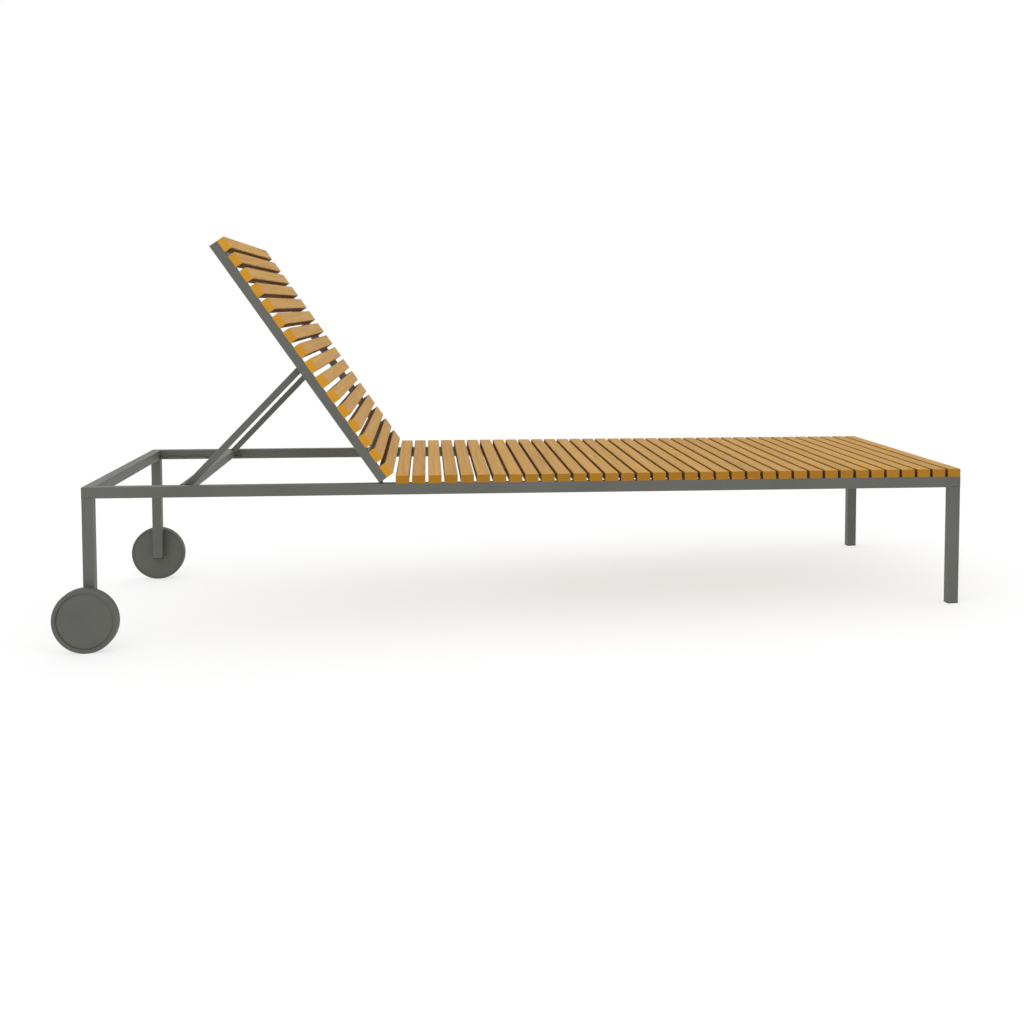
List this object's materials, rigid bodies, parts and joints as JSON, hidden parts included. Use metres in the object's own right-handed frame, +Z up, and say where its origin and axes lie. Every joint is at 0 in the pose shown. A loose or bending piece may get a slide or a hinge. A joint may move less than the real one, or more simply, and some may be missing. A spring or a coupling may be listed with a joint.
{
  "type": "reclining sun lounger",
  "caption": "Reclining sun lounger with a square-tube steel frame, teak slats, a backrest held up by a folding prop, and transport wheels at the head end.",
  "frame": {"origin": "centre of the footprint, on the floor, under the middle of the bed", "axes": "+X runs from the head end with the wheels to the foot end, +Y to the left of a user who lies on the back, +Z up"},
  "size_m": [2.0732, 0.808, 0.9062],
  "materials": {
    "frame_steel": "warm grey powder coat, fine texture, satin",
    "teak": "oiled teak, straight grain along each slat",
    "wheel_rubber": "grey rubber, matte",
    "wheel_plastic": "grey moulded plastic, matte",
    "black_nylon": "black nylon, matte",
    "plated_steel": "zinc-plated steel"
  },
  "bodies": {
    "frame": {"head_rail": "frame_steel", "foot_rail": "frame_steel", "side_rail_l": "frame_steel", "side_rail_r": "frame_steel", "leg_head_l": "frame_steel", "leg_head_r": "frame_steel", "leg_foot_l": "frame_steel", "leg_foot_r": "frame_steel", "cross_rail_hinge": "frame_steel", "cross_rail_seat": "frame_steel", "leg_plug_l": "black_nylon", "leg_plug_r": "black_nylon", "foot_glide_l": "black_nylon", "foot_glide_r": "black_nylon", "rest_rack_l": "frame_steel", "rest_rack_r": "frame_steel", "hinge_bracket_l": "frame_steel", "hinge_bracket_r": "frame_steel", "hinge_pins": "plated_steel", "axle_bolts": "plated_steel", "axle_washers": "plated_steel", "axle_inserts": "plated_steel", "seat_slats": "teak", "seat_screws": "plated_steel"},
    "backrest": {"back_rail_l": "frame_steel", "back_rail_r": "frame_steel", "back_tube_low": "frame_steel", "back_tube_top": "frame_steel", "back_caps": "black_nylon", "hinge_plug_l": "black_nylon", "hinge_plug_r": "black_nylon", "pivot_blocks": "plated_steel", "prop_pins": "plated_steel", "prop_spacers": "plated_steel", "back_slats": "teak", "back_screws": "plated_steel"},
    "prop": {"prop_arm_l": "frame_steel", "prop_arm_r": "frame_steel", "prop_bosses": "frame_steel", "prop_bushes": "black_nylon", "foot_tube": "frame_steel", "foot_plug_l": "black_nylon", "foot_plug_r": "black_nylon", "foot_pegs": "plated_steel"},
    "wheel_left": {"tyre_l": "wheel_rubber", "wheel_disc_l": "wheel_plastic", "wheel_bush_l": "black_nylon", "wheel_cover_l": "wheel_plastic"},
    "wheel_right": {"tyre_r": "wheel_rubber", "wheel_disc_r": "wheel_plastic", "wheel_bush_r": "black_nylon", "wheel_cover_r": "wheel_plastic"}
  },
  "joints": [
    {"name": "back_recline", "type": "hinge", "parent": "frame", "child": "backrest", "pos_m": [-0.3067, 0, 0.35922], "axis": [0, 1, 0], "range_deg": [-28.2, 2]},
    {"name": "prop_swing", "type": "hinge", "parent": "backrest", "child": "prop", "pos_m": [-0.47096, 0, 0.61324], "axis": [0, 1, 0], "range_deg": [-3.6, 48.8]},
    {"name": "wheel_spin_left", "type": "hinge", "parent": "frame", "child": "wheel_left", "pos_m": [-0.96464, 0.391, 0.072], "axis": [0, 1, 0], "continuous": true},
    {"name": "wheel_spin_right", "type": "hinge", "parent": "frame", "child": "wheel_right", "pos_m": [-0.96464, -0.391, 0.072], "axis": [0, 1, 0], "continuous": true}
  ],
  "couplings": [
    {"joint": "prop_swing", "follows": "back_recline", "ratio": -1.725}
  ]
}
